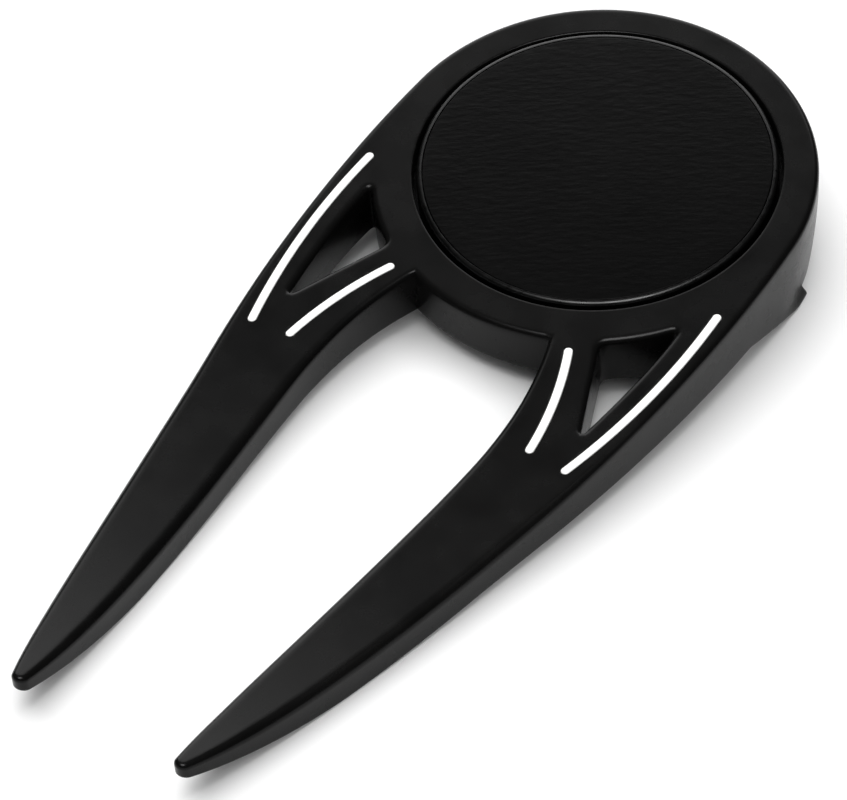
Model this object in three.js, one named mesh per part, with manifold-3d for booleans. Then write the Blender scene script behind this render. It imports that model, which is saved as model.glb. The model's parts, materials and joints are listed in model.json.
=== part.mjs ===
// A divot repair tool with a magnetic ball marker, in millimetres.
//
// Everything is drawn in the head's frame: its origin is the middle of the head's top face, X runs across the
// tool, Y along it with the prongs towards -Y, and Z stands square to the top face. The whole tool is then
// tipped so that it lies on Z = 0 on its heel and the bellies of its prongs, and moved so that the origin is
// under the middle of its box.

import * as THREE from "three";
import { mergeVertices } from "three/addons/utils/BufferGeometryUtils.js";
import Module from "manifold-3d";

// ---------------------------------------------------------------- driving dimensions

const HEAD_RADIUS = 15.2;
const HEAD_CENTRE_Y = -0.15;
const HEAD_DEPTH = 10; // deeper than the heel at its deepest, before the ground trims it
const WALL_LEVELS = 7;
const WALL_TUCK = 0.01; // how far the head's wall curves in, per squared millimetre of depth
const TUCK_FROM_Y = -1; // the wall is upright in front of here, and curves in fully behind LIP_END_Y
const LIP_END_Y = 3.05;
const LIP_HEIGHT = 0.5; // where the struts meet the head, a small lip stands out at the wall's foot

const REST_TILT = THREE.MathUtils.degToRad(7.2);
const RISE_START_Y = -14.5; // forward of here the prongs curve up
const RISE_RATE = 4.4e-5; // rise per cubed millimetre
const PRONG_DEPTH = 2.65;
const TIP_DEPTH = 1.25;
const TIP_TAPER_LENGTH = 12.5;
const TIP_Y = -57.42;
const PRONG_END_Y = -32.5; // behind here the underside slopes down, gently and then steeply, to the heel
const UNDERSIDE_BEND = [-5, -4.6];
const HEEL_FRONT_Y = 1.6; // the heel stands on the ground behind here

const SEAT_RADIUS = 12.7;
const SEAT_DEPTH = 1.75;
const SEAT_CHAMFER = 0.1;
const WINDOW_RING_RADIUS = 15.4;

const STRIPE_WIDTH = 0.6;
const STRIPE_DEPTH = 0.5;
const FIT_GAP = 0.05; // between a piece and the pocket that it sits in

const MARKER_RADIUS = 12.42;
const MARKER_THICKNESS = 1.9; // so that it stands 0.2 proud of the head
const MARKER_BEVEL = 0.3;
const FACE_RADIUS = 12.0;
const FACE_THICKNESS = 0.3;

const MAGNET_RADIUS = 5;
const MAGNET_THICKNESS = 2;
const MAGNET_WALL = 1.2;

const SEAT_FLOOR = 0.9; // plastic between the seat and the hollow heel
const CAVITY_RADIUS = 12.2;
const CAVITY_FRONT_Y = -7;
const HEEL_LEDGE = 2.5; // plastic between the heel's front edge and the hollow
const RIB_THICKNESS = 1;
const COVER_THICKNESS = 1;
const COVER_RADIUS = 13;
const COVER_FRONT_Y = 3.9;
const PEG_RADIUS = 1;
const PEG_WALL = 1.1;
const PEG_LENGTH = 2.6;
const PEG_PLACES = [
  [-8, 8.2],
  [8, 8.2],
  [0, 11.2],
];

const CURVE_STEP = 1.4; // longest step along an outline
const PROFILE_STEP = 2.0; // longest step along the side view
const CUTTER_REACH = 30; // far enough to pass right through

// ---------------------------------------------------------------- materials

function material(color, roughness, metalness) {
  return new THREE.MeshStandardMaterial({ color, roughness, metalness });
}

const blackPlastic = material(0x141414, 0.42, 0);
const whiteInlay = material(0xf2f2f0, 0.5, 0);
const blackSteel = material(0x1b1b1c, 0.35, 0.9);
const grainedFace = material(0x101010, 0.6, 0);
const magnetNickel = material(0xb9bbbd, 0.25, 1);

// ---------------------------------------------------------------- solids

const wasm = await Module();
wasm.setup();

function toSolid(geometry) {
  const bare = new THREE.BufferGeometry();
  bare.setAttribute("position", geometry.getAttribute("position"));
  if (geometry.index) bare.setIndex(geometry.index);
  const merged = mergeVertices(bare, 1e-5);
  return new wasm.Manifold(
    new wasm.Mesh({
      numProp: 3,
      vertProperties: new Float32Array(merged.attributes.position.array),
      triVerts: new Uint32Array(merged.index.array),
    }),
  );
}

function toGeometry(solid) {
  const mesh = solid.getMesh();
  const geometry = new THREE.BufferGeometry();
  geometry.setAttribute("position", new THREE.BufferAttribute(new Float32Array(mesh.vertProperties), 3));
  geometry.setIndex(new THREE.BufferAttribute(new Uint32Array(mesh.triVerts), 1));
  geometry.computeVertexNormals();
  return geometry;
}

function joined(solids) {
  return solids.reduce((whole, solid) => whole.add(solid));
}

function without(solid, cutters) {
  return cutters.reduce((rest, cutter) => rest.subtract(cutter), solid);
}

// A flat outline in X and Y, from zLow to zHigh.
function prism(points, zLow, zHigh) {
  const geometry = new THREE.ExtrudeGeometry(new THREE.Shape(points), {
    depth: zHigh - zLow,
    bevelEnabled: false,
  });
  return toSolid(geometry.translate(0, 0, zLow));
}

// A side view in Y and Z, right across the tool.
function crossPrism(points) {
  const geometry = new THREE.ExtrudeGeometry(new THREE.Shape(points), {
    depth: 2 * CUTTER_REACH,
    bevelEnabled: false,
  });
  geometry.translate(0, 0, -CUTTER_REACH);
  geometry.rotateY(Math.PI / 2);
  geometry.rotateX(Math.PI / 2);
  return toSolid(geometry);
}

// A round piece about Z, from [radius, z] points that start and end on the axis.
function turned(profile, segments, x = 0, y = 0) {
  const points = profile.map(([radius, z]) => new THREE.Vector2(radius, z));
  const geometry = new THREE.LatheGeometry(points, segments);
  geometry.rotateX(Math.PI / 2);
  return toSolid(geometry.translate(x, y, 0));
}

function disc(radius, zLow, zHigh, segments, x = 0, y = 0) {
  const profile = [
    [0, zLow],
    [radius, zLow],
    [radius, zHigh],
    [0, zHigh],
  ];
  return turned(profile, segments, x, y);
}

// ---------------------------------------------------------------- curves

function steps(length, longest) {
  return Math.max(1, Math.ceil(length / longest));
}

// Points along an arc, without its last one.
function arc(cx, cy, radius, fromAngle, toAngle, step = CURVE_STEP) {
  const count = steps(Math.abs(toAngle - fromAngle) * radius, step);
  return Array.from({ length: count }, (_, i) => {
    const angle = fromAngle + ((toAngle - fromAngle) * i) / count;
    return new THREE.Vector2(cx + radius * Math.cos(angle), cy + radius * Math.sin(angle));
  });
}

// Points along a cubic curve through its two ends, without its last one.
function cubic(ends) {
  const curve = new THREE.CubicBezierCurve(...ends.map(([x, y]) => new THREE.Vector2(x, y)));
  const count = steps(curve.getLength(), CURVE_STEP);
  return Array.from({ length: count }, (_, i) => curve.getPoint(i / count));
}

function mirrored(points) {
  return points.map((point) => new THREE.Vector2(-point.x, point.y)).reverse();
}

// ---------------------------------------------------------------- outlines seen from above

const OUTER_EDGE_TOP = [
  [15.16, 0.9],
  [15.78, -8.1],
  [15.0, -18.3],
  [13.46, -26.94],
];
const OUTER_EDGE_PRONG = [
  [13.46, -26.94],
  [12.16, -34.24],
  [9.55, -50.4],
  [6.9, -56.9],
];
const INNER_EDGE_PRONG = [
  [5.72, -56.75],
  [4.8, -48.4],
  [7.08, -29.45],
  [7.08, -24.4],
];
const INNER_EDGE_THROAT = [
  [7.08, -24.4],
  [7.08, -20.81],
  [6.69, -17.83],
  [5.43, -14.35],
];
const TIP_ROUND = 0.62;

function endTangentAngle([x0, y0], [x1, y1]) {
  return Math.atan2(y1 - y0, x1 - x0);
}

// The rounded nose of the right prong, tangent to both of its edges.
function tipRound() {
  const outward = endTangentAngle(OUTER_EDGE_PRONG[2], OUTER_EDGE_PRONG[3]) + Math.PI / 2;
  const inward = endTangentAngle(INNER_EDGE_PRONG[0], INNER_EDGE_PRONG[1]) + Math.PI / 2;
  const [x, y] = OUTER_EDGE_PRONG[3];
  const cx = x - TIP_ROUND * Math.cos(outward);
  const cy = y - TIP_ROUND * Math.sin(outward);
  return arc(cx, cy, TIP_ROUND, outward, inward - 2 * Math.PI, TIP_ROUND / 3);
}

// Anticlockwise round the whole tool, starting at the back of the head.
function toolOutline() {
  const [startX, startY] = OUTER_EDGE_TOP[0];
  const [throatX, throatY] = INNER_EDGE_THROAT[3];
  const startAngle = Math.atan2(startY - HEAD_CENTRE_Y, startX);
  const throatAngle = Math.atan2(throatY - HEAD_CENTRE_Y, throatX);
  const right = [
    ...arc(0, HEAD_CENTRE_Y, HEAD_RADIUS, Math.PI / 2, startAngle),
    ...cubic(OUTER_EDGE_TOP),
    ...cubic(OUTER_EDGE_PRONG),
    ...tipRound(),
    ...cubic(INNER_EDGE_PRONG),
    ...cubic(INNER_EDGE_THROAT),
    ...arc(0, HEAD_CENTRE_Y, HEAD_RADIUS, throatAngle, -Math.PI / 2),
  ];
  const left = mirrored(right.slice(1));
  return [...right, new THREE.Vector2(0, HEAD_CENTRE_Y - HEAD_RADIUS), ...left].reverse();
}

// The right window between the struts: a triangle with one side round the ring.
const WINDOW_OUTER_CORNER_ANGLE = -0.631;
const WINDOW_INNER_CORNER_ANGLE = -0.984;
const WINDOW_TOE = [11.75, -20.25];
const WINDOW_BOW = 0.22; // how far its outer side bows out

function windowOutline() {
  const ring = arc(
    0,
    HEAD_CENTRE_Y,
    WINDOW_RING_RADIUS,
    WINDOW_INNER_CORNER_ANGLE,
    WINDOW_OUTER_CORNER_ANGLE,
  );
  const outerCorner = [
    WINDOW_RING_RADIUS * Math.cos(WINDOW_OUTER_CORNER_ANGLE),
    HEAD_CENTRE_Y + WINDOW_RING_RADIUS * Math.sin(WINDOW_OUTER_CORNER_ANGLE),
  ];
  const third = (WINDOW_TOE[1] - outerCorner[1]) / 3;
  const outerSide = cubic([
    outerCorner,
    [outerCorner[0] + WINDOW_BOW, outerCorner[1] + third],
    [WINDOW_TOE[0] + 2 * WINDOW_BOW, WINDOW_TOE[1] - third],
    WINDOW_TOE,
  ]);
  return [...ring, ...outerSide, new THREE.Vector2(...WINDOW_TOE)];
}

// Centre lines of the right-hand stripes, as arcs between two values of Y.
const STRIPES = {
  outer_stripe: { cx: -40.35, cy: -10.11, radius: 54.5, yFrom: -7.1, yTo: -23.25 },
  inner_stripe: { cx: -18.28, cy: -26.54, radius: 28.1, yFrom: -14.65, yTo: -23.0 },
};

// A strip with round ends, along a stripe's arc.
function stripeOutline({ cx, cy, radius, yFrom, yTo }, halfWidth) {
  const start = Math.asin((yFrom - cy) / radius);
  const end = Math.asin((yTo - cy) / radius);
  const cap = (angle, turn) =>
    arc(
      cx + radius * Math.cos(angle),
      cy + radius * Math.sin(angle),
      halfWidth,
      angle + turn,
      angle + turn + Math.PI,
      halfWidth / 2,
    );
  return [
    ...arc(cx, cy, radius - halfWidth, start, end),
    ...cap(end, Math.PI),
    ...arc(cx, cy, radius + halfWidth, end, start),
    ...cap(start, 0),
  ];
}

// ---------------------------------------------------------------- side views

function topHeight(y) {
  return RISE_RATE * Math.max(RISE_START_Y - y, 0) ** 3;
}

function prongDepth(y) {
  const along = THREE.MathUtils.clamp((y - TIP_Y) / TIP_TAPER_LENGTH, 0, 1);
  return PRONG_DEPTH - (PRONG_DEPTH - TIP_DEPTH) * (1 - along) ** 1.5;
}

function profileRange(from, to) {
  const count = steps(Math.abs(to - from), PROFILE_STEP);
  return Array.from({ length: count + 1 }, (_, i) => from + ((to - from) * i) / count);
}

function prongUnderside() {
  return profileRange(TIP_Y, PRONG_END_Y).map((y) => [y, topHeight(y) - prongDepth(y)]);
}

// How high the head's origin stands when the bellies of the prongs touch the ground.
function restHeight() {
  const heights = prongUnderside().map(([y, z]) => y * Math.sin(REST_TILT) + z * Math.cos(REST_TILT));
  return -Math.min(...heights);
}

const REST_HEIGHT = restHeight();

// How far behind the head's middle the heel's middle stands on the ground.
const FOOT_SHIFT = REST_HEIGHT * Math.sin(REST_TILT) + HEAD_CENTRE_Y * Math.cos(REST_TILT);

// Z of a level plane at a given height above the ground.
function groundPlane(y, height = 0) {
  return (height - REST_HEIGHT - y * Math.sin(REST_TILT)) / Math.cos(REST_TILT);
}

function sideView(points) {
  return crossPrism(points.map(([y, z]) => new THREE.Vector2(y, z)));
}

// The whole body: its curved top, and its underside down to the heel.
function bodySideView() {
  return sideView([
    ...profileRange(RISE_START_Y, TIP_Y).map((y) => [y, topHeight(y)]),
    ...prongUnderside(),
    UNDERSIDE_BEND,
    [HEEL_FRONT_Y, groundPlane(HEEL_FRONT_Y)],
    [CUTTER_REACH, groundPlane(CUTTER_REACH)],
    [CUTTER_REACH, 0],
  ]);
}

// The lip: a thin layer along the underside, on the slope and a little way behind the heel's front.
function lipSideView() {
  const foot = [
    UNDERSIDE_BEND,
    [HEEL_FRONT_Y, groundPlane(HEEL_FRONT_Y)],
    [LIP_END_Y, groundPlane(LIP_END_Y)],
  ];
  const top = foot.map(([y, z]) => [y, z + LIP_HEIGHT]).reverse();
  return sideView([...foot, ...top]);
}

// The hollow in the heel, open at the bottom.
function cavitySideView() {
  const ceiling = -SEAT_DEPTH - SEAT_FLOOR;
  const rimY = HEEL_FRONT_Y + HEEL_LEDGE;
  return sideView([
    [CAVITY_FRONT_Y, ceiling],
    [rimY, groundPlane(rimY, COVER_THICKNESS)],
    [rimY, -CUTTER_REACH],
    [CUTTER_REACH, -CUTTER_REACH],
    [CUTTER_REACH, ceiling],
  ]);
}

// ---------------------------------------------------------------- the moulded body

// Turns a solid that was drawn upright over the ground into the head's frame.
function fromUpright(solid) {
  return solid.rotate([THREE.MathUtils.radToDeg(-REST_TILT), 0, 0]);
}

// The tool seen from above, with its wall upright along the struts and prongs and curved in round the head.
function outlineSolid() {
  const top = topHeight(TIP_Y) + 1;
  const geometry = new THREE.ExtrudeGeometry(new THREE.Shape(toolOutline()), {
    depth: HEAD_DEPTH + top,
    steps: WALL_LEVELS,
    bevelEnabled: false,
  });
  geometry.translate(0, 0, -HEAD_DEPTH);
  const places = geometry.getAttribute("position");
  for (let i = 0; i < places.count; i += 1) {
    const fullness = THREE.MathUtils.smoothstep(places.getY(i), TUCK_FROM_Y, LIP_END_Y);
    const tuck = WALL_TUCK * fullness * Math.min(places.getZ(i), 0) ** 2;
    const scale = 1 - tuck / HEAD_RADIUS;
    const y = HEAD_CENTRE_Y + (places.getY(i) - HEAD_CENTRE_Y) * scale;
    places.setXY(i, places.getX(i) * scale, y);
  }
  return toSolid(geometry);
}

function markerSeat() {
  return turned(
    [
      [0, -SEAT_DEPTH],
      [SEAT_RADIUS, -SEAT_DEPTH],
      [SEAT_RADIUS, -SEAT_CHAMFER],
      [SEAT_RADIUS + SEAT_CHAMFER + 1, 1],
      [0, 1],
    ],
    72,
  );
}

function mirroredPair(points, zLow, zHigh) {
  return [prism(points, zLow, zHigh), prism(mirrored(points), zLow, zHigh)];
}

function windows() {
  return mirroredPair(windowOutline(), -CUTTER_REACH, CUTTER_REACH);
}

function stripeGrooves() {
  const halfWidth = STRIPE_WIDTH / 2 + FIT_GAP;
  return Object.values(STRIPES).flatMap((stripe) =>
    mirroredPair(stripeOutline(stripe, halfWidth), -STRIPE_DEPTH - FIT_GAP, 1),
  );
}

const MAGNET_POCKET_FLOOR = -SEAT_DEPTH - MAGNET_THICKNESS - 2 * FIT_GAP;
const MAGNET_POCKET_RADIUS = MAGNET_RADIUS + FIT_GAP;
const BOSS_FLOOR = MAGNET_POCKET_FLOOR - MAGNET_WALL;
const COVER_SPACE = COVER_THICKNESS + FIT_GAP - REST_HEIGHT; // top of the space for the cover's plate

// The cup round the magnet, the bosses for the cover's pegs, and a rib from the cup to each boss.
function heelBosses() {
  const cup = disc(MAGNET_POCKET_RADIUS + MAGNET_WALL, BOSS_FLOOR, 0, 48);
  const ribs = PEG_PLACES.map(([x, y]) => {
    const points = [
      new THREE.Vector2(0, -RIB_THICKNESS / 2),
      new THREE.Vector2(CUTTER_REACH, -RIB_THICKNESS / 2),
      new THREE.Vector2(CUTTER_REACH, RIB_THICKNESS / 2),
      new THREE.Vector2(0, RIB_THICKNESS / 2),
    ];
    const turn = THREE.MathUtils.radToDeg(Math.atan2(y - FOOT_SHIFT, x));
    return prism(points, BOSS_FLOOR, 0).rotate([0, 0, turn]);
  });
  const pegBosses = PEG_PLACES.map(([x, y]) =>
    fromUpright(disc(PEG_RADIUS + FIT_GAP + PEG_WALL, COVER_SPACE, 0, 24, x, y)),
  );
  return joined([cup, ...ribs, ...pegBosses]);
}

function pegHoles() {
  const top = COVER_SPACE + PEG_LENGTH + FIT_GAP;
  return PEG_PLACES.map(([x, y]) =>
    fromUpright(disc(PEG_RADIUS + FIT_GAP, -CUTTER_REACH, top, 16, x, y)),
  );
}

function magnetPocket() {
  return disc(MAGNET_POCKET_RADIUS, MAGNET_POCKET_FLOOR, 0, 48);
}

// The cover's plate, round at the back and straight across the front, upright over the ground.
function coverPlate(gap, zLow, zHigh) {
  const behind = prism(
    [
      new THREE.Vector2(-CUTTER_REACH, COVER_FRONT_Y - gap),
      new THREE.Vector2(CUTTER_REACH, COVER_FRONT_Y - gap),
      new THREE.Vector2(CUTTER_REACH, CUTTER_REACH),
      new THREE.Vector2(-CUTTER_REACH, CUTTER_REACH),
    ],
    zLow,
    zHigh,
  );
  return disc(COVER_RADIUS + gap, zLow, zHigh, 72, 0, FOOT_SHIFT).intersect(behind);
}

function toolBody() {
  const lip = prism(toolOutline(), -HEAD_DEPTH, 0).intersect(lipSideView());
  const blank = outlineSolid().intersect(bodySideView()).add(lip);
  const cavity = disc(CAVITY_RADIUS, -CUTTER_REACH, 0, 72, 0, HEAD_CENTRE_Y);
  const hollow = cavity.intersect(cavitySideView()).subtract(heelBosses());
  const coverSpace = fromUpright(coverPlate(FIT_GAP, -CUTTER_REACH, COVER_SPACE));
  return without(blank, [
    hollow,
    coverSpace,
    magnetPocket(),
    ...pegHoles(),
    markerSeat(),
    ...windows(),
    ...stripeGrooves(),
  ]);
}

// ---------------------------------------------------------------- the smaller pieces

function stripe(shape, side) {
  const points = stripeOutline(shape, STRIPE_WIDTH / 2);
  return prism(side < 0 ? mirrored(points) : points, -STRIPE_DEPTH, 0);
}

const MARKER_TOP = -SEAT_DEPTH + FIT_GAP + MARKER_THICKNESS;

function markerDisc() {
  const bottom = MARKER_TOP - MARKER_THICKNESS;
  const pocketFloor = MARKER_TOP - FACE_THICKNESS - FIT_GAP;
  return turned(
    [
      [0, bottom],
      [MARKER_RADIUS - MARKER_BEVEL, bottom],
      [MARKER_RADIUS, bottom + MARKER_BEVEL],
      [MARKER_RADIUS, MARKER_TOP - MARKER_BEVEL],
      [MARKER_RADIUS - MARKER_BEVEL, MARKER_TOP],
      [FACE_RADIUS + FIT_GAP, MARKER_TOP],
      [FACE_RADIUS + FIT_GAP, pocketFloor],
      [0, pocketFloor],
    ],
    72,
  );
}

function markerFace() {
  return disc(FACE_RADIUS, MARKER_TOP - FACE_THICKNESS, MARKER_TOP, 72);
}

function markerMagnet() {
  const top = -SEAT_DEPTH - FIT_GAP;
  return disc(MAGNET_RADIUS, top - MAGNET_THICKNESS, top, 48);
}

// The plate that closes the heel, with a peg for each boss.
function baseCover() {
  const plateTop = COVER_THICKNESS - REST_HEIGHT;
  const plate = coverPlate(0, -REST_HEIGHT, plateTop);
  const pegs = PEG_PLACES.map(([x, y]) => disc(PEG_RADIUS, -REST_HEIGHT, plateTop + PEG_LENGTH, 16, x, y));
  return fromUpright(joined([plate, ...pegs]));
}

// ---------------------------------------------------------------- assembly

const tool = new THREE.Group();

function place(name, solid, look) {
  const mesh = new THREE.Mesh(toGeometry(solid), look);
  mesh.name = name;
  tool.add(mesh);
}

place("tool_body", toolBody(), blackPlastic);
place("base_cover", baseCover(), blackPlastic);
place("marker_magnet", markerMagnet(), magnetNickel);
place("marker_disc", markerDisc(), blackSteel);
place("marker_face", markerFace(), grainedFace);
for (const [name, shape] of Object.entries(STRIPES)) {
  place(`${name}_left`, stripe(shape, -1), whiteInlay);
  place(`${name}_right`, stripe(shape, 1), whiteInlay);
}

// Lay the tool down on its heel and prongs, with the origin under the middle of its box.
tool.rotation.x = REST_TILT;
tool.position.z = REST_HEIGHT;
const assembly = new THREE.Group();
assembly.add(tool);
assembly.updateMatrixWorld(true);
const box = new THREE.Box3().setFromObject(assembly, true);
tool.position.y = -(box.min.y + box.max.y) / 2;

export default assembly;
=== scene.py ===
"""The look of the divot repair tool: its meshes, materials, floor, light and camera.

Shapes are worked out in the head's frame, in millimetres. Its origin is the middle of the head's top face,
X runs across the tool, Y along it with the prongs towards -Y, and Z stands square to the top face. placed()
turns a point there into the row frame, in metres.
"""

import json
import math

import bmesh
import bpy
import numpy as np
from mathutils import Matrix, Vector
from mathutils.geometry import delaunay_2d_cdt


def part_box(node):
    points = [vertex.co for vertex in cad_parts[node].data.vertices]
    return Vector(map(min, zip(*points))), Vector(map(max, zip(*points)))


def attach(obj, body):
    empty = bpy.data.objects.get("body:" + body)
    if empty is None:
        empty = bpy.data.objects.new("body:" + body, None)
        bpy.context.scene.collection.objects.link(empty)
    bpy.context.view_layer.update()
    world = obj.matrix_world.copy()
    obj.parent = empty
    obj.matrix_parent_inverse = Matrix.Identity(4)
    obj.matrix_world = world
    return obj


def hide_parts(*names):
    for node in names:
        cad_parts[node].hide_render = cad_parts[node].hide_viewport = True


MM = 0.001

# ---------------------------------------------------------------- the frame from the CAD

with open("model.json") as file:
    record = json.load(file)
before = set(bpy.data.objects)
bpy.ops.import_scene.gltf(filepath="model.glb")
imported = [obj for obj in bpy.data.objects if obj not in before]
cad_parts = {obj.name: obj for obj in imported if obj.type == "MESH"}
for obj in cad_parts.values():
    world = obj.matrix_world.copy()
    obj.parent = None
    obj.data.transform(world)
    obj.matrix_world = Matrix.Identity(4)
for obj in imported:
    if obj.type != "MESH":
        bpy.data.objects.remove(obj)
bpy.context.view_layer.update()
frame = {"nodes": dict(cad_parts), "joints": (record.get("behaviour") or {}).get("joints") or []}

lift = next(joint for joint in frame["joints"] if joint["name"] == "marker_lift")
HEAD_NORMAL = Vector(lift["axis"]).normalized()
TILT = math.atan2(-HEAD_NORMAL.y, HEAD_NORMAL.z)

# The head's origin is in the middle of the head's top face, just under the top of the marker's face.
MARKER_FACE_TOP = 0.2
FACE_THICKNESS = 0.3
face_low, face_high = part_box("marker_face")
FACE_MIDDLE = (face_low + face_high) / 2
HEAD_ORIGIN = FACE_MIDDLE - HEAD_NORMAL * (MARKER_FACE_TOP - FACE_THICKNESS / 2) * MM
HEAD_FRAME = Matrix.Translation(HEAD_ORIGIN) @ Matrix.Rotation(TILT, 4, "X")
REST_HEIGHT = HEAD_ORIGIN.z / MM


def placed(point):
    """A point of the head's frame, in the row frame."""
    return HEAD_FRAME @ (Vector(point) * MM)


# ---------------------------------------------------------------- the shape

HEAD_RADIUS = 15.2
HEAD_CENTRE_Y = -0.15
WALL_TUCK = 0.01  # how far the head's wall curves in, per squared millimetre of depth
TUCK_FROM_Y = -1  # the wall is upright in front of here, and curves in fully behind LIP_END_Y
WALL_RINGS = 8
LIP_END_Y = 3.05
LIP_HEIGHT = 0.9  # where the struts meet the head, the wall flares out at its foot in a small lip
LIP_WALL_SHARE = 0.6  # the lip takes no more of a low wall than this
LIP_RINGS = 4
LIP_END_ANGLE = 0.002  # how much of the wall's turn the lip's end face takes
RISE_START_Y = -14.5
RISE_RATE = 4.4e-5  # how fast the top rises in front of RISE_START_Y, per cubed millimetre
PRONG_DEPTH = 2.65
TIP_DEPTH = 1.25
TIP_TAPER_LENGTH = 12.5
TIP_TAPER_POWER = 1.5
TIP_Y = -57.42
PRONG_END_Y = -32.5
UNDERSIDE_BEND = (-5, -4.6)  # the y and z where the underside's two slopes meet
HEEL_FRONT_Y = 1.6

# Each side of the outline's right half is a cubic curve, given by its four control points.
OUTER_EDGE_TOP = [(15.16, 0.9), (15.78, -8.1), (15.0, -18.3), (13.46, -26.94)]
OUTER_EDGE_PRONG = [(13.46, -26.94), (12.16, -34.24), (9.55, -50.4), (6.9, -56.9)]
INNER_EDGE_PRONG = [(5.72, -56.75), (4.8, -48.4), (7.08, -29.45), (7.08, -24.4)]
INNER_EDGE_THROAT = [(7.08, -24.4), (7.08, -20.81), (6.69, -17.83), (5.43, -14.35)]
TIP_ROUND = 0.62

WINDOW_RING_RADIUS = 15.4
# Where the window's corners lie on that ring, in radians round the head's centre.
WINDOW_OUTER_CORNER_ANGLE = -0.631
WINDOW_INNER_CORNER_ANGLE = -0.984
WINDOW_TOE = (11.75, -20.25)
WINDOW_BOW = 0.22

STRIPE_WIDTH = 0.6
STRIPE_DEPTH = 0.5
STRIPE_SUNK = 0.01
STRIPE_ROUND = 0.08
FIT_GAP = 0.05  # between a piece and the pocket that it sits in
# Centre lines of the right-hand stripes: centre x and y, radius, and the range of y.
STRIPES = {
    "outer_stripe": (-40.35, -10.11, 54.5, -7.1, -23.25),
    "inner_stripe": (-18.28, -26.54, 28.1, -14.65, -23.0),
}

SEAT_RADIUS = 12.7
SEAT_DEPTH = 1.75
SEAT_CHAMFER = 0.1
SEAT_CHAMFER_SHAPE = [(1, 0), (0.45, 0.15), (0.15, 0.45), (0, 1)]  # out and down, as shares of its size
SEAT_RIM = 0.1
MAGNET_RADIUS = 5
MAGNET_THICKNESS = 2
MAGNET_BEVEL = 0.2
MARKER_RADIUS = 12.42
MARKER_THICKNESS = 1.9
MARKER_BEVEL = 0.3
MARKER_FOOT_BEVEL = 0.2
FACE_RADIUS = 12.0
FACE_BEVEL = 0.06
FACE_DOME = 0.25
DOME_RINGS = np.arange(11.9, 0.3, -0.7)
COVER_THICKNESS = 1
COVER_BEVEL = 0.15
COVER_RADIUS = 13
COVER_FRONT_Y = 3.9
PEG_RADIUS = 1
PEG_LENGTH = 2.6
PEG_PLACES = [(-8, 8.2), (8, 8.2), (0, 11.2)]

# The size of the round along the outline's top edge, at each y: wider along the prongs.
ROUND_AT_Y = {-57.4: 0.4, -52: 0.6, -44: 0.65, -30: 0.65, -19: 0.4}
WINDOW_ROUND = 0.42
WINDOW_CORNER = 0.5
WINDOW_FOOT_ROUND = 0.12
FOOT_ROUND = 0.15

# How finely the curves and faces are divided.
CURVE_STEP = 0.35
TIP_STEP = 0.1
CORNER_STEPS = 6
WINDOW_SIDE_POINTS = 24
CAP_STEPS = 5  # steps in a stripe's half width, along its round ends
CIRCLE_POINTS = 192
PEG_POINTS = 32
COVER_FRONT_POINTS = 60
FACE_SPACING = 0.9
FACE_CLEARANCE = 0.6  # how far a face's inner points stay from its edges, in spacings
SAME_POINT = 1e-6
EDGE_STEPS = 5
WIDE_EDGE_STEPS = 7
SMALL_EDGE_STEPS = 4
EDGE_MARGIN = 1.35  # the flat ring inside a rounded edge, in radii from the wall
WELD = 0.002

SMOOTH_ANGLE = 32  # degrees; a sharper fold between faces shows as an edge
GRAIN_ANGLE = 0.59  # how far the grain of the marker's face is turned from X, in radians


# ---------------------------------------------------------------- curves


def direction_2d(angle):
    return np.array([math.cos(angle), math.sin(angle)])


def arc(centre, radius, start, end, step=CURVE_STEP):
    """Points along an arc, both ends included."""
    count = max(2, math.ceil(abs(end - start) * radius / step))
    return [np.array(centre) + radius * direction_2d(a) for a in np.linspace(start, end, count + 1)]


def cubic(corners):
    """Points along a cubic curve, both ends included."""
    a, b, c, d = (np.array(corner, float) for corner in corners)
    chord_and_sides = sum(np.linalg.norm(p - q) for p, q in ((d, a), (b, a), (c, b), (d, c)))
    length = chord_and_sides / 2
    ts = np.linspace(0, 1, math.ceil(length / CURVE_STEP) + 1)
    return [(1 - t) ** 3 * a + 3 * (1 - t) ** 2 * t * b + 3 * (1 - t) * t * t * c + t**3 * d for t in ts]


def mirrored(points):
    return [np.array([-x, y]) for x, y in reversed(points)]


def loop_of(sides, corner=0.0):
    """One closed loop from curves laid end to end. Where a corner size is given, the joints are rounded."""
    points = []
    for i, side in enumerate(sides):
        following = sides[(i + 1) % len(sides)]
        if corner:
            ends = (side[0], side[-1])
            side = [p for p in side if min(np.linalg.norm(p - e) for e in ends) > corner]
            after = [p for p in following if np.linalg.norm(p - following[0]) > corner]
            a, b, c = side[-1], following[0], after[0]
            shares = np.linspace(0, 1, CORNER_STEPS + 1)[1:-1]
            bend = [(1 - t) ** 2 * a + 2 * (1 - t) * t * b + t * t * c for t in shares]
            points += side + bend
        else:
            points += side[:-1]
    return np.array(points)


def tip_round():
    """The rounded nose of the right prong, tangent to both of its edges."""
    last, before = np.array(OUTER_EDGE_PRONG[3]), np.array(OUTER_EDGE_PRONG[2])
    after, first = np.array(INNER_EDGE_PRONG[1]), np.array(INNER_EDGE_PRONG[0])
    outward = math.atan2(*(last - before)[::-1]) + math.pi / 2
    inward = math.atan2(*(after - first)[::-1]) + math.pi / 2
    centre = last - TIP_ROUND * direction_2d(outward)
    return arc(centre, TIP_ROUND, outward, inward - 2 * math.pi, TIP_STEP)


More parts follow.
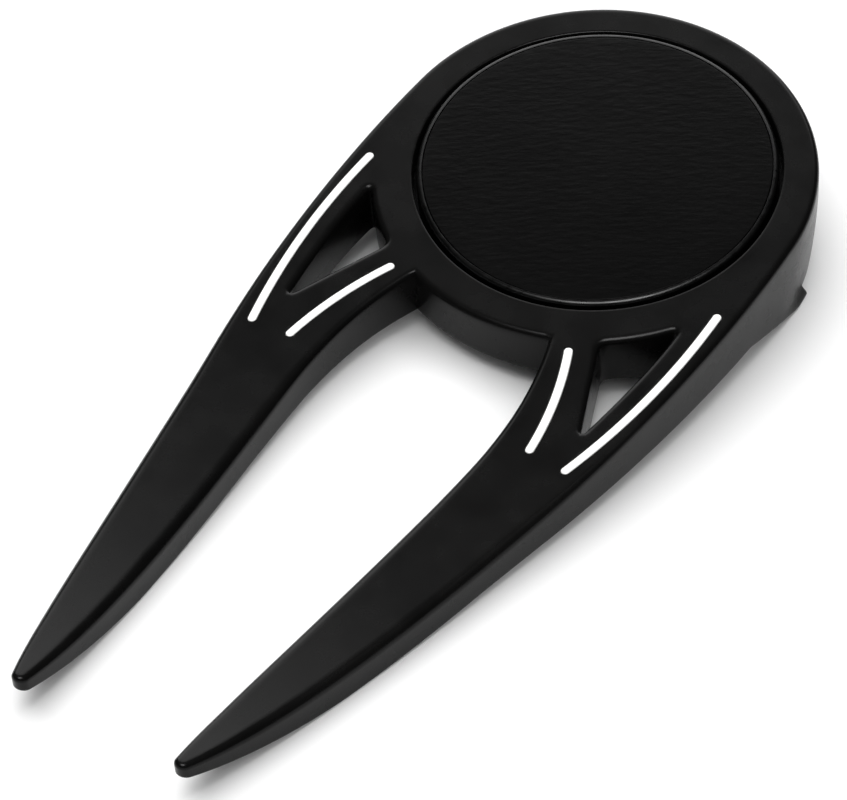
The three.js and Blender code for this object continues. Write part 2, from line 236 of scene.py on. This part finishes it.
def tool_outline():
    """The tool's outline from above, clockwise from the middle of the throat round to it again."""
    centre = (0, HEAD_CENTRE_Y)
    start = math.atan2(OUTER_EDGE_TOP[0][1] - HEAD_CENTRE_Y, OUTER_EDGE_TOP[0][0])
    throat = math.atan2(INNER_EDGE_THROAT[3][1] - HEAD_CENTRE_Y, INNER_EDGE_THROAT[3][0])
    lip_end = math.asin((LIP_END_Y - HEAD_CENTRE_Y) / HEAD_RADIUS)
    behind_lip = arc(centre, HEAD_RADIUS, math.pi / 2, lip_end + LIP_END_ANGLE)
    over_lip = arc(centre, HEAD_RADIUS, lip_end, start)
    right = [
        behind_lip,
        [behind_lip[-1], over_lip[0]],
        over_lip,
        cubic(OUTER_EDGE_TOP),
        cubic(OUTER_EDGE_PRONG),
        tip_round(),
        cubic(INNER_EDGE_PRONG),
        cubic(INNER_EDGE_THROAT),
        arc(centre, HEAD_RADIUS, throat, -math.pi / 2),
    ]
    return loop_of(right + [mirrored(side) for side in reversed(right)])


def window_outline():
    """The right window: an arc round the head, a bowed side down to the toe, and a straight side back."""
    centre = (0, HEAD_CENTRE_Y)
    ring = arc(centre, WINDOW_RING_RADIUS, WINDOW_INNER_CORNER_ANGLE, WINDOW_OUTER_CORNER_ANGLE)
    top = ring[-1]
    toe = np.array(WINDOW_TOE)
    third = (toe[1] - top[1]) / 3
    bowed = cubic([top, top + (WINDOW_BOW, third), toe + (2 * WINDOW_BOW, -third), toe])
    straight = [toe + (ring[0] - toe) * t for t in np.linspace(0, 1, WINDOW_SIDE_POINTS)]
    return loop_of([ring, bowed, straight], WINDOW_CORNER)


def stripe_outline(shape, half_width):
    """A strip with round ends, along a stripe's arc."""
    cx, cy, radius, y_from, y_to = shape
    start = math.asin((y_from - cy) / radius)
    end = math.asin((y_to - cy) / radius)

    def cap(angle, turn):
        middle = np.array([cx, cy]) + radius * direction_2d(angle)
        return arc(middle, half_width, angle + turn, angle + turn + math.pi, half_width / CAP_STEPS)

    return loop_of(
        [
            arc((cx, cy), radius - half_width, start, end),
            cap(end, math.pi),
            arc((cx, cy), radius + half_width, end, start),
            cap(start, 0),
        ]
    )


def circle(radius, centre=(0, 0), count=CIRCLE_POINTS):
    return np.array([np.array(centre) + radius * direction_2d(2 * math.pi * i / count) for i in range(count)])


def level_circle(radius, z):
    return np.column_stack([circle(radius), np.full(CIRCLE_POINTS, float(z))])


def turned_left(loop):
    """The loop run anticlockwise."""
    x, y = loop[:, 0], loop[:, 1]
    area = np.sum(x * np.roll(y, -1) - np.roll(x, -1) * y)
    return loop if area > 0 else loop[::-1]


def left_normals(loop):
    """At each point, the offset that moves both of its edges by one to the left."""
    edge = np.roll(loop, -1, 0) - loop
    edge /= np.linalg.norm(edge, axis=1)[:, None]
    normal = np.stack([-edge[:, 1], edge[:, 0]], 1)
    both = normal + np.roll(normal, 1, 0)
    square = np.sum(both * both, 1)
    return both * (2 / np.maximum(square, 1.0))[:, None]


# ---------------------------------------------------------------- heights


def top_height(x, y):
    """The top surface: flat over the head, rising along the prongs, and the same all across the tool."""
    return RISE_RATE * np.maximum(RISE_START_Y - y, 0) ** 3


def ground(y, height=0.0):
    """A level plane's height in the head's frame, at a given height above the floor."""
    return (height - REST_HEIGHT - y * math.sin(TILT)) / math.cos(TILT)


def prong_depth(y):
    along = np.clip((y - TIP_Y) / TIP_TAPER_LENGTH, 0, 1)
    return PRONG_DEPTH - (PRONG_DEPTH - TIP_DEPTH) * (1 - along) ** TIP_TAPER_POWER


def under_height(x, y):
    """The underside: along the prongs, then in two slopes down to the heel, and level with the floor."""
    slopes_y = [PRONG_END_Y, UNDERSIDE_BEND[0], HEEL_FRONT_Y]
    prong_end_z = top_height(x, PRONG_END_Y) - prong_depth(PRONG_END_Y)
    slopes_z = [prong_end_z, UNDERSIDE_BEND[1], ground(HEEL_FRONT_Y)]
    under = np.where(y < PRONG_END_Y, top_height(x, y) - prong_depth(y), np.interp(y, slopes_y, slopes_z))
    return np.where(y > HEEL_FRONT_Y, ground(y), under)


# ---------------------------------------------------------------- meshes


class Shell:
    """Gathers faces in the head's frame, and welds them into one closed mesh."""

    def __init__(self):
        self.points = []
        self.faces = []

    def strip(self, first, second):
        """Faces between two closed rings with the same number of points."""
        base = len(self.points)
        count = len(first)
        self.points += [tuple(p) for p in first] + [tuple(p) for p in second]
        for i in range(count):
            j = (i + 1) % count
            self.faces.append((base + i, base + j, base + count + j, base + count + i))

    def strips(self, rings):
        for first, second in zip(rings, rings[1:]):
            self.strip(first, second)

    def fill(self, rings, height, spacing=0.0, facing_up=True):
        """Fills the area inside the first ring and outside the rest. A spacing adds points in the area."""
        flat = [np.array(ring)[:, :2] for ring in rings]
        edges = []
        heights = {}
        points = []
        for ring, loop in zip(rings, flat):
            base = len(points)
            count = len(loop)
            edges += [(base + i, base + (i + 1) % count) for i in range(count)]
            heights.update({base + i: ring[i][2] for i in range(count)})
            points += list(loop)
        if spacing:
            points += inner_points(flat, spacing)
        found = delaunay_2d_cdt([Vector(p) for p in points], edges, [], 0, SAME_POINT)
        coords = np.array([tuple(p) for p in found[0]])
        source = [ids[0] if ids else -1 for ids in found[3]]
        z = height(coords[:, 0], coords[:, 1])
        for i, origin in enumerate(source):
            if origin in heights:
                z[i] = heights[origin]
        triangles = np.array([face for face in found[2] if len(face) == 3])
        middles = coords[triangles].mean(1)
        base = len(self.points)
        self.points += [(x, y, h) for (x, y), h in zip(coords, z)]
        for face in triangles[inside(middles, flat)]:
            a, b, c = (int(i) + base for i in face)
            self.faces.append((a, b, c) if facing_up else (a, c, b))

    def made(self, name, material):
        mesh = bpy.data.meshes.new(name)
        mesh.from_pydata([placed(p) for p in self.points], [], self.faces)
        work = bmesh.new()
        work.from_mesh(mesh)
        bmesh.ops.remove_doubles(work, verts=work.verts, dist=WELD * MM)
        bmesh.ops.dissolve_degenerate(work, edges=work.edges, dist=WELD * MM)
        loose = [v for v in work.verts if not v.link_faces]
        bmesh.ops.delete(work, geom=loose, context="VERTS")
        bmesh.ops.recalc_face_normals(work, faces=work.faces)
        work.to_mesh(mesh)
        work.free()
        mesh.shade_smooth()
        mesh.set_sharp_from_angle(angle=math.radians(SMOOTH_ANGLE))
        mesh.materials.append(material)
        piece = bpy.data.objects.new(name, mesh)
        bpy.context.scene.collection.objects.link(piece)
        return piece


def inside(points, loops):
    """Which points lie inside an odd number of the loops."""
    odd = np.zeros(len(points), bool)
    px, py = points[:, 0][:, None], points[:, 1][:, None]
    for loop in loops:
        ax, ay = loop[:, 0], loop[:, 1]
        bx, by = np.roll(ax, -1), np.roll(ay, -1)
        crosses = (ay > py) != (by > py)
        span = np.where(by == ay, 1, by - ay)
        hit = px < ax + (py - ay) * (bx - ax) / span
        odd ^= (np.sum(crosses & hit, 1) % 2).astype(bool)
    return odd


def inner_points(loops, spacing):
    """A grid of points in the area, clear of its edges."""
    low, high = loops[0].min(0), loops[0].max(0)
    xs = np.arange(low[0] + spacing / 3, high[0], spacing)
    ys = np.arange(low[1] + spacing / 3, high[1], spacing)
    grid = np.stack(np.meshgrid(xs, ys), -1).reshape(-1, 2)
    grid = grid[inside(grid, loops)]
    edge = np.concatenate(loops)
    gap = np.array([np.min(np.sum((edge - p) ** 2, 1)) for p in grid])
    return list(grid[gap > (FACE_CLEARANCE * spacing) ** 2])


def edge_rings(loop, height, radius, upward, steps=EDGE_STEPS):
    """A rounded edge, from its inner rings on the face to its outer ring on the wall.

    The radius is one number, or one for each point.
    """
    radius = np.broadcast_to(radius, len(loop))
    inward = left_normals(loop) * radius[:, None]
    flat = loop + inward * EDGE_MARGIN
    rings = [np.column_stack([flat, height(flat[:, 0], flat[:, 1])])]
    for angle in np.linspace(0, math.pi / 2, steps):
        flat = loop + inward * (1 - math.sin(angle))
        drop = radius * (1 - math.cos(angle))
        z = height(flat[:, 0], flat[:, 1]) - (drop if upward else -drop)
        rings.append(np.column_stack([flat, z]))
    return rings


def smooth_share(value, low, high):
    """How far the value is from low to high, with a smooth start and end."""
    share = np.clip((value - low) / (high - low), 0, 1)
    return share * share * (3 - 2 * share)


def tucked(loop, depth, lip_share=0.0):
    """The outline at a depth down the wall. A lip share of 1 brings it out again along the lip."""
    tuck = WALL_TUCK * smooth_share(loop[:, 1], TUCK_FROM_Y, LIP_END_Y) * depth**2
    tuck = np.where(loop[:, 1] < LIP_END_Y + WELD, tuck * (1 - lip_share), tuck)
    return (0, HEAD_CENTRE_Y) + (loop - (0, HEAD_CENTRE_Y)) * (1 - tuck / HEAD_RADIUS)[:, None]


def outer_wall(loop, top_round):
    """Rings down the wall, between the round at its top and the one at its foot."""
    top = top_height(*loop.T)
    low = top - under_height(*loop.T) - FOOT_ROUND
    lip_top = low - np.minimum(LIP_HEIGHT, LIP_WALL_SHARE * (low - top_round))
    rings = []
    for share in np.linspace(0, 1, WALL_RINGS + 1)[1:]:
        depth = top_round + (lip_top - top_round) * share
        rings.append(np.column_stack([tucked(loop, depth), top - depth]))
    for share in np.linspace(0, 1, LIP_RINGS + 2)[1:-1]:
        depth = lip_top + (low - lip_top) * share
        rings.append(np.column_stack([tucked(loop, depth, smooth_share(share, 0, 1)), top - depth]))
    return rings


def upright(plan, height):
    """A level loop, given in plan as it stands on the floor and at a height above it, in the head's frame."""
    z = height - REST_HEIGHT
    y = plan[:, 1] * math.cos(TILT) + z * math.sin(TILT)
    return np.column_stack([plan[:, 0], y, -plan[:, 1] * math.sin(TILT) + z * math.cos(TILT)])


def cover_plan(gap):
    """The cover's edge in plan, round at the back and straight across the front."""
    foot_shift = REST_HEIGHT * math.sin(TILT) + HEAD_CENTRE_Y * math.cos(TILT)
    radius = COVER_RADIUS + gap
    front = COVER_FRONT_Y - gap
    start = math.asin((front - foot_shift) / radius)
    back = arc((0, foot_shift), radius, start, math.pi - start)
    across = [back[-1] + (back[0] - back[-1]) * t for t in np.linspace(0, 1, COVER_FRONT_POINTS)]
    return turned_left(loop_of([back, across]))


def peg_walls(shell, radius, low, high, facing_up):
    """The walls and ends of the cover's pegs, or of the holes for them. Returns the rings at their feet."""
    feet = []
    for place in PEG_PLACES:
        ring = circle(radius, place, PEG_POINTS)
        feet.append(upright(ring, low))
        end = upright(ring, high)
        shell.strip(feet[-1], end)
        shell.fill([end], lambda x, y: ground(y, high), facing_up=facing_up)
    return feet


def both_sides(loop):
    """A loop on the right of the tool, and its mirror image."""
    return [loop, np.array(mirrored(list(loop)))]


def outline_wall(shell):
    """The body's outer wall. Returns the rings where it meets the top face and the underside."""
    outline = turned_left(tool_outline())
    outline_round = np.interp(outline[:, 1], list(ROUND_AT_Y.keys()), list(ROUND_AT_Y.values()))
    foot = tucked(outline, top_height(*outline.T) - under_height(*outline.T), 1.0)
    top = edge_rings(outline, top_height, outline_round, True, WIDE_EDGE_STEPS)
    bottom = edge_rings(foot, under_height, FOOT_ROUND, False)
    shell.strips([*top, *outer_wall(outline, outline_round), *reversed(bottom)])
    return top[0], bottom[0]


def window_wall(shell, window):
    """A window's wall. Returns the rings where it meets the top face and the underside."""
    loop = turned_left(window)[::-1]
    top = edge_rings(loop, top_height, WINDOW_ROUND, True, WIDE_EDGE_STEPS)
    bottom = edge_rings(loop, under_height, WINDOW_FOOT_ROUND, False)
    shell.strips([*top, *reversed(bottom)])
    return top[0], bottom[0]


def stripe_groove(shell, groove):
    """The groove that a stripe sits in. Returns its rim."""
    rim = np.column_stack([groove, top_height(*groove.T)])
    floor = rim - (0, 0, STRIPE_DEPTH + FIT_GAP)
    shell.strip(rim, floor)
    shell.fill([floor], lambda x, y: top_height(x, y) - STRIPE_DEPTH - FIT_GAP)
    return rim


def marker_seat(shell):
    """The marker's seat, with the magnet's pocket in its floor. Returns its rim."""
    pocket_radius = MAGNET_RADIUS + FIT_GAP
    pocket_floor = -SEAT_DEPTH - MAGNET_THICKNESS - 2 * FIT_GAP
    profile = [
        (SEAT_RADIUS + SEAT_CHAMFER + SEAT_RIM, 0),
        *[(SEAT_RADIUS + SEAT_CHAMFER * out, -SEAT_CHAMFER * down) for out, down in SEAT_CHAMFER_SHAPE],
        (SEAT_RADIUS, -SEAT_DEPTH),
        (pocket_radius, -SEAT_DEPTH),
        (pocket_radius, pocket_floor),
    ]
    rings = [level_circle(radius, z) for radius, z in profile]
    shell.strips(rings)
    shell.fill([rings[-1]], lambda x, y: np.full(len(x), pocket_floor))
    return rings[0]


def cover_recess(shell):
    """The recess that the cover sits in, with the holes for its pegs. Returns its mouth."""
    plan = cover_plan(FIT_GAP)
    mouth = upright(plan, 0)
    depth = COVER_THICKNESS + FIT_GAP
    floor = upright(plan, depth)
    shell.strip(mouth, floor)
    holes = peg_walls(shell, PEG_RADIUS + FIT_GAP, depth, depth + PEG_LENGTH, facing_up=False)
    shell.fill([floor, *holes], lambda x, y: ground(y, depth), facing_up=False)
    return mouth


def tool_body():
    """The body. The hollow in its heel is left out here, because the cover closes it."""
    shell = Shell()
    walls = [outline_wall(shell)]
    walls += [window_wall(shell, window) for window in both_sides(window_outline())]
    tops = [top for top, bottom in walls]
    bottoms = [bottom for top, bottom in walls]
    for shape in STRIPES.values():
        groove = stripe_outline(shape, STRIPE_WIDTH / 2 + FIT_GAP)
        tops += [stripe_groove(shell, loop) for loop in both_sides(groove)]
    tops.append(marker_seat(shell))
    shell.fill(tops, top_height, FACE_SPACING)
    bottoms.append(cover_recess(shell))
    shell.fill(bottoms, under_height, FACE_SPACING, facing_up=False)
    piece = shell.made("tool_body_shell", black_plastic)
    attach(piece, "tool")
    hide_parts("tool_body")


def base_cover():
    shell = Shell()
    plan = cover_plan(0)
    inset = plan + left_normals(plan) * COVER_BEVEL
    foot = upright(inset, 0)
    top = upright(inset, COVER_THICKNESS)
    middle = [upright(plan, COVER_BEVEL), upright(plan, COVER_THICKNESS - COVER_BEVEL)]
    shell.strips([foot, *middle, top])
    shell.fill([foot], lambda x, y: ground(y), facing_up=False)
    pegs = peg_walls(shell, PEG_RADIUS, COVER_THICKNESS, COVER_THICKNESS + PEG_LENGTH, facing_up=True)
    shell.fill([top, *pegs], lambda x, y: ground(y, COVER_THICKNESS))
    piece = shell.made("base_cover_plate", black_plastic)
    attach(piece, "tool")
    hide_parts("base_cover")


def stripe_piece(name, shape, side):
    shell = Shell()
    loop = turned_left(stripe_outline(shape, STRIPE_WIDTH / 2))
    if side < 0:
        loop = turned_left(np.array(mirrored(list(loop))))

    def face_height(x, y):
        return top_height(x, y) - STRIPE_SUNK

    def foot_height(x, y):
        return top_height(x, y) - STRIPE_DEPTH

    top = edge_rings(loop, face_height, STRIPE_ROUND, True, SMALL_EDGE_STEPS)
    foot = np.column_stack([loop, foot_height(*loop.T)])
    shell.fill([top[0]], face_height)
    shell.strips(top + [foot])
    shell.fill([foot], foot_height, facing_up=False)
    piece = shell.made(name + "_inlay", white_inlay)
    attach(piece, "tool")
    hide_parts(name)


def lathe_piece(name, node, profile, material, body):
    """A round piece about the head's axis from (radius, z) points, closed with a level face at both ends."""
    shell = Shell()
    rings = [level_circle(radius, z) for radius, z in profile]
    shell.strips(rings)
    for ring in (rings[0], rings[-1]):
        shell.fill([ring], lambda x, y, z=ring[0][2]: np.full(len(x), z))
    piece = shell.made(name, material)
    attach(piece, body)
    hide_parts(node)


def rounded_rim(radius, z, size, steps=EDGE_STEPS):
    """An outer top edge, from the wall up to the face."""
    angles = np.linspace(0, math.pi / 2, steps)
    return [(radius - size + size * math.cos(a), z - size + size * math.sin(a)) for a in angles]


def magnet():
    top = -SEAT_DEPTH - FIT_GAP
    profile = [
        (MAGNET_RADIUS - MAGNET_BEVEL, top - MAGNET_THICKNESS),
        (MAGNET_RADIUS, top - MAGNET_THICKNESS + MAGNET_BEVEL),
        *rounded_rim(MAGNET_RADIUS, top, MAGNET_BEVEL),
    ]
    lathe_piece("magnet_disc", "marker_magnet", profile, nickel, "tool")


def marker_pieces():
    bottom = MARKER_FACE_TOP - MARKER_THICKNESS
    pocket = FACE_RADIUS + FIT_GAP
    profile = [
        (MARKER_RADIUS - MARKER_FOOT_BEVEL, bottom),
        (MARKER_RADIUS, bottom + MARKER_FOOT_BEVEL),
        *rounded_rim(MARKER_RADIUS, MARKER_FACE_TOP, MARKER_BEVEL),
        (pocket, MARKER_FACE_TOP),
        (pocket, MARKER_FACE_TOP - FACE_THICKNESS - FIT_GAP),
    ]
    lathe_piece("marker_coin", "marker_disc", profile, black_steel, "marker")
    dome = [(r, MARKER_FACE_TOP + FACE_DOME * (1 - (r / FACE_RADIUS) ** 2)) for r in DOME_RINGS]
    profile = [
        (FACE_RADIUS, MARKER_FACE_TOP - FACE_THICKNESS),
        *rounded_rim(FACE_RADIUS, MARKER_FACE_TOP, FACE_BEVEL, SMALL_EDGE_STEPS),
        *dome,
    ]
    lathe_piece("marker_skin", "marker_face", profile, black_vinyl, "marker")


# ---------------------------------------------------------------- materials


def added(tree, kind, inputs=None, **settings):
    """A new node. An input that is another node's output is linked, and any other value is set."""
    node = tree.nodes.new(kind)
    for name, value in settings.items():
        setattr(node, name, value)
    for key, value in (inputs or {}).items():
        if isinstance(value, bpy.types.NodeSocket):
            tree.links.new(value, node.inputs[key])
        else:
            node.inputs[key].default_value = value
    return node


def new_material(name, **sockets):
    """A material, its node tree and its shader, with the sockets that stay the same all over set."""
    material = bpy.data.materials.new(name)
    material.use_nodes = True
    tree = material.node_tree
    shader = tree.nodes["Principled BSDF"]
    for socket, value in sockets.items():
        shader.inputs[socket].default_value = value
    return material, tree, shader


def noise(tree, size, detail=2.0, stretch=1.0, turn=0.0):
    """Noise with features of a size in millimetres, stretched along an axis turned from X in plan."""
    place = added(tree, "ShaderNodeTexCoord").outputs["Object"]
    grain = added(
        tree,
        "ShaderNodeMapping",
        {"Vector": place, "Rotation": (0, 0, turn), "Scale": (size * stretch * MM, size * MM, size * MM)},
        vector_type="TEXTURE",
    )
    inputs = {"Vector": grain.outputs[0], "Scale": 1, "Detail": detail}
    return added(tree, "ShaderNodeTexNoise", inputs).outputs[0]


def ranged(tree, value, low, high, start=0.3, end=0.7):
    """The value's range from start to end, spread from low to high."""
    inputs = {"Value": value, "From Min": start, "From Max": end, "To Min": low, "To Max": high}
    return added(tree, "ShaderNodeMapRange", inputs).outputs[0]


def product(tree, first, second):
    """Two values multiplied."""
    return added(tree, "ShaderNodeMath", {0: first, 1: second}, operation="MULTIPLY").outputs[0]


def mixed(tree, share, first, second):
    """A colour between two. Each is a triple, or another node's output."""
    colors = [c if isinstance(c, bpy.types.NodeSocket) else (*c, 1) for c in (first, second)]
    return added(tree, "ShaderNodeMix", {0: share, 6: colors[0], 7: colors[1]}, data_type="RGBA").outputs[2]


def edges(tree, width):
    """1 where the surface turns a corner within a width in millimetres, and 0 on flat faces."""
    rounded = added(tree, "ShaderNodeBevel", {"Radius": width * MM}, samples=6).outputs[0]
    true = added(tree, "ShaderNodeNewGeometry").outputs["Normal"]
    match = added(tree, "ShaderNodeVectorMath", {0: rounded, 1: true}, operation="DOT_PRODUCT")
    return ranged(tree, match.outputs["Value"], 1, 0, 0.9, 0.995)


def bump(tree, height, depth, under=None):
    """A normal from a height that runs from 0 to 1, over a depth in millimetres."""
    inputs = {"Height": height, "Distance": depth * MM}
    if under:
        inputs["Normal"] = under
    return added(tree, "ShaderNodeBump", inputs).outputs[0]


def linked(tree, shader, **sockets):
    """Links node outputs to the shader's sockets. An underscore stands for the space in a socket's name."""
    for socket, value in sockets.items():
        tree.links.new(value, shader.inputs[socket.replace("_", " ")])


def plastic_look():
    """Moulded black plastic: a fine even texture, faint flow patches, and polished and scuffed edges."""
    material, tree, shader = new_material("black_plastic", IOR=1.205)
    patches = noise(tree, 9, 3)
    scuffs = product(tree, edges(tree, 0.25), ranged(tree, noise(tree, 0.7, 4), 0, 0.6, 0.5, 0.7))
    base = mixed(tree, ranged(tree, patches, 0, 1), (0.002, 0.002, 0.002), (0.0035, 0.0034, 0.0033))
    smooth = ranged(tree, noise(tree, 3, 5), 0.22, 0.3)
    rougher = {0: smooth, 1: product(tree, scuffs, smooth)}
    scuffed = added(tree, "ShaderNodeMath", rougher, operation="ADD").outputs[0]
    texture = bump(tree, noise(tree, 0.12, 3), 0.0015)
    linked(
        tree,
        shader,
        Base_Color=mixed(tree, scuffs, base, (0.012, 0.012, 0.012)),
        Roughness=scuffed,
        Normal=bump(tree, patches, 0.006, texture),
    )
    return material


def inlay_look():
    """White enamel: slightly uneven, with a little grime along its edges."""
    material, tree, shader = new_material("white_inlay", IOR=1.45)
    paint = mixed(tree, ranged(tree, noise(tree, 1.6, 4), 0, 1), (0.86, 0.86, 0.84), (0.92, 0.92, 0.91))
    grime = product(tree, edges(tree, 0.06), ranged(tree, noise(tree, 0.4, 3), 0, 0.5))
    linked(
        tree,
        shader,
        Base_Color=mixed(tree, grime, paint, (0.45, 0.44, 0.41)),
        Roughness=ranged(tree, noise(tree, 0.9, 4), 0.32, 0.48),
        Normal=bump(tree, noise(tree, 0.35, 3), 0.004),
    )
    return material


def distance_from_axis(tree):
    """How far each point stands from the head's axis, in metres."""
    place = added(tree, "ShaderNodeTexCoord").outputs["Object"]
    inputs = {"Vector": place, "Location": HEAD_ORIGIN, "Rotation": (TILT, 0, 0)}
    local = added(tree, "ShaderNodeMapping", inputs, vector_type="TEXTURE").outputs[0]
    flat = added(tree, "ShaderNodeVectorMath", {0: local, 1: (1, 1, 0)}, operation="MULTIPLY").outputs[0]
    return added(tree, "ShaderNodeVectorMath", {0: flat}, operation="LENGTH").outputs["Value"]


def turned_metal_look(name, dark, light, rough, fine):
    """Turned metal: fine rings about the head's axis, and edges rubbed lighter."""
    material, tree, shader = new_material(name, Metallic=1.0)
    radius = distance_from_axis(tree)
    inputs = {"W": radius, "Scale": 1 / (0.05 * MM), "Detail": 2.0}
    rings = added(tree, "ShaderNodeTexNoise", inputs, noise_dimensions="1D").outputs[0]
    tarnish = ranged(tree, noise(tree, 2.5, 4), 0, 1)
    rubbed = product(tree, edges(tree, 0.15), ranged(tree, noise(tree, 0.6, 3), 0.2, 1))
    body = mixed(tree, tarnish, dark, light)
    linked(
        tree,
        shader,
        Base_Color=mixed(tree, rubbed, body, [1.2 * c for c in light]),
        Roughness=ranged(tree, noise(tree, 0.5, 4), fine, rough),
        Normal=bump(tree, rings, 0.0006),
    )
    return material


def vinyl_look():
    """Black grained vinyl: fine streaks that run one way, over a shallow pebble."""
    material, tree, shader = new_material("black_vinyl", IOR=1.11)
    streaks = noise(tree, 0.34, 4, stretch=3.5, turn=GRAIN_ANGLE)
    pebble = noise(tree, 0.6, 3, stretch=2, turn=GRAIN_ANGLE)
    wear = product(tree, ranged(tree, noise(tree, 6, 3), 0.3, 1), ranged(tree, streaks, 0, 1))
    linked(
        tree,
        shader,
        Base_Color=mixed(tree, wear, (0.0008, 0.0008, 0.0008), (0.003, 0.003, 0.003)),
        Roughness=ranged(tree, streaks, 0.46, 0.3),
        Normal=bump(tree, streaks, 0.025, bump(tree, pebble, 0.02)),
    )
    return material


black_plastic = plastic_look()
white_inlay = inlay_look()
black_steel = turned_metal_look("black_steel", (0.016, 0.016, 0.016), (0.029, 0.029, 0.029), 0.36, 0.26)
black_vinyl = vinyl_look()
nickel = turned_metal_look("nickel", (0.6, 0.59, 0.56), (0.75, 0.74, 0.71), 0.3, 0.16)

LOOKS = {
    "tool_body": black_plastic,
    "base_cover": black_plastic,
    "outer_stripe_left": white_inlay,
    "outer_stripe_right": white_inlay,
    "inner_stripe_left": white_inlay,
    "inner_stripe_right": white_inlay,
    "marker_disc": black_steel,
    "marker_face": black_vinyl,
    "marker_magnet": nickel,
}
for node, look in LOOKS.items():
    mesh = frame["nodes"][node].data
    mesh.materials.clear()
    mesh.materials.append(look)

tool_body()
base_cover()
magnet()
for node in STRIPES:
    stripe_piece(node + "_left", STRIPES[node], -1)
    stripe_piece(node + "_right", STRIPES[node], 1)
marker_pieces()

# ---------------------------------------------------------------- floor, light and camera

FLOOR_SIZE = 6.0
FLOOR_DROP = 0.01  # the floor is a hair under the tool, so that the two don't lie in one plane
FLOOR_GREY = 0.9
WORLD_STRENGTH = 0.05


def floor_plane():
    mesh = bpy.data.meshes.new("floor")
    half = FLOOR_SIZE / 2
    z = -FLOOR_DROP * MM
    corners = [(-half, -half, z), (half, -half, z), (half, half, z), (-half, half, z)]
    mesh.from_pydata(corners, [], [(0, 1, 2, 3)])
    paper, _, shader = new_material("white_floor", Roughness=0.9)
    shader.inputs["Base Color"].default_value = (FLOOR_GREY, FLOOR_GREY, FLOOR_GREY, 1)
    mesh.materials.append(paper)
    floor = bpy.data.objects.new("floor", mesh)
    bpy.context.scene.collection.objects.link(floor)


floor_plane()


def direction(azimuth, elevation):
    """A unit vector from angles in degrees. Azimuth 0 is the -Y side, and turns towards +X."""
    flat = math.cos(math.radians(elevation))
    return Vector(
        (
            flat * math.sin(math.radians(azimuth)),
            -flat * math.cos(math.radians(azimuth)),
            math.sin(math.radians(elevation)),
        )
    )


def area_light(name, azimuth, elevation, distance, size, power):
    """A square soft box that looks at the origin."""
    data = bpy.data.lights.new(name, "AREA")
    data.size = size
    data.energy = power
    light = bpy.data.objects.new(name, data)
    light.location = distance * direction(azimuth, elevation)
    light.rotation_euler = light.location.to_track_quat("Z", "Y").to_euler()
    bpy.context.scene.collection.objects.link(light)
    return light


# The wide box and the fill light the surfaces without showing in their gloss. The key and the back panel
# show only in the gloss.
wide = area_light("wide_box", azimuth=-110, elevation=72, distance=1.0, size=1.25, power=16.5)
wide.visible_glossy = False
fill = area_light("fill_box", azimuth=60, elevation=45, distance=1.2, size=1.4, power=7.5)
fill.visible_glossy = False
key = area_light("key_box", azimuth=34, elevation=72, distance=1.0, size=0.54, power=13)
key.visible_diffuse = False
back = area_light("back_panel", azimuth=-146, elevation=25, distance=1.2, size=1.02, power=10)
back.visible_diffuse = False

world = bpy.data.worlds.new("studio")
world.use_nodes = True
background = world.node_tree.nodes["Background"]
background.inputs["Color"].default_value = (1, 1, 1, 1)
background.inputs["Strength"].default_value = WORLD_STRENGTH
bpy.context.scene.world = world

# Angles in degrees, the distance in metres and the lens in millimetres.
CAMERA_AZIMUTH = 33.797
CAMERA_ELEVATION = 44.906
CAMERA_ROLL = 0.694
CAMERA_DISTANCE = 0.32981
CAMERA_AIM = Vector((1.305, -1.994, 4.12)) * MM
CAMERA_LENS = 212.47


def add_camera():
    data = bpy.data.cameras.new("camera")
    data.lens = CAMERA_LENS
    data.sensor_width = 36
    data.sensor_fit = "HORIZONTAL"
    data.clip_start = 0.01
    data.clip_end = 20
    camera = bpy.data.objects.new("camera", data)
    back = direction(CAMERA_AZIMUTH, CAMERA_ELEVATION)
    camera.location = CAMERA_AIM + CAMERA_DISTANCE * back
    turn = back.to_track_quat("Z", "Y") @ Matrix.Rotation(math.radians(CAMERA_ROLL), 3, "Z").to_quaternion()
    camera.rotation_mode = "QUATERNION"
    camera.rotation_quaternion = turn
    bpy.context.scene.collection.objects.link(camera)
    bpy.context.scene.camera = camera


add_camera()

bpy.context.scene.view_settings.view_transform = "Standard"
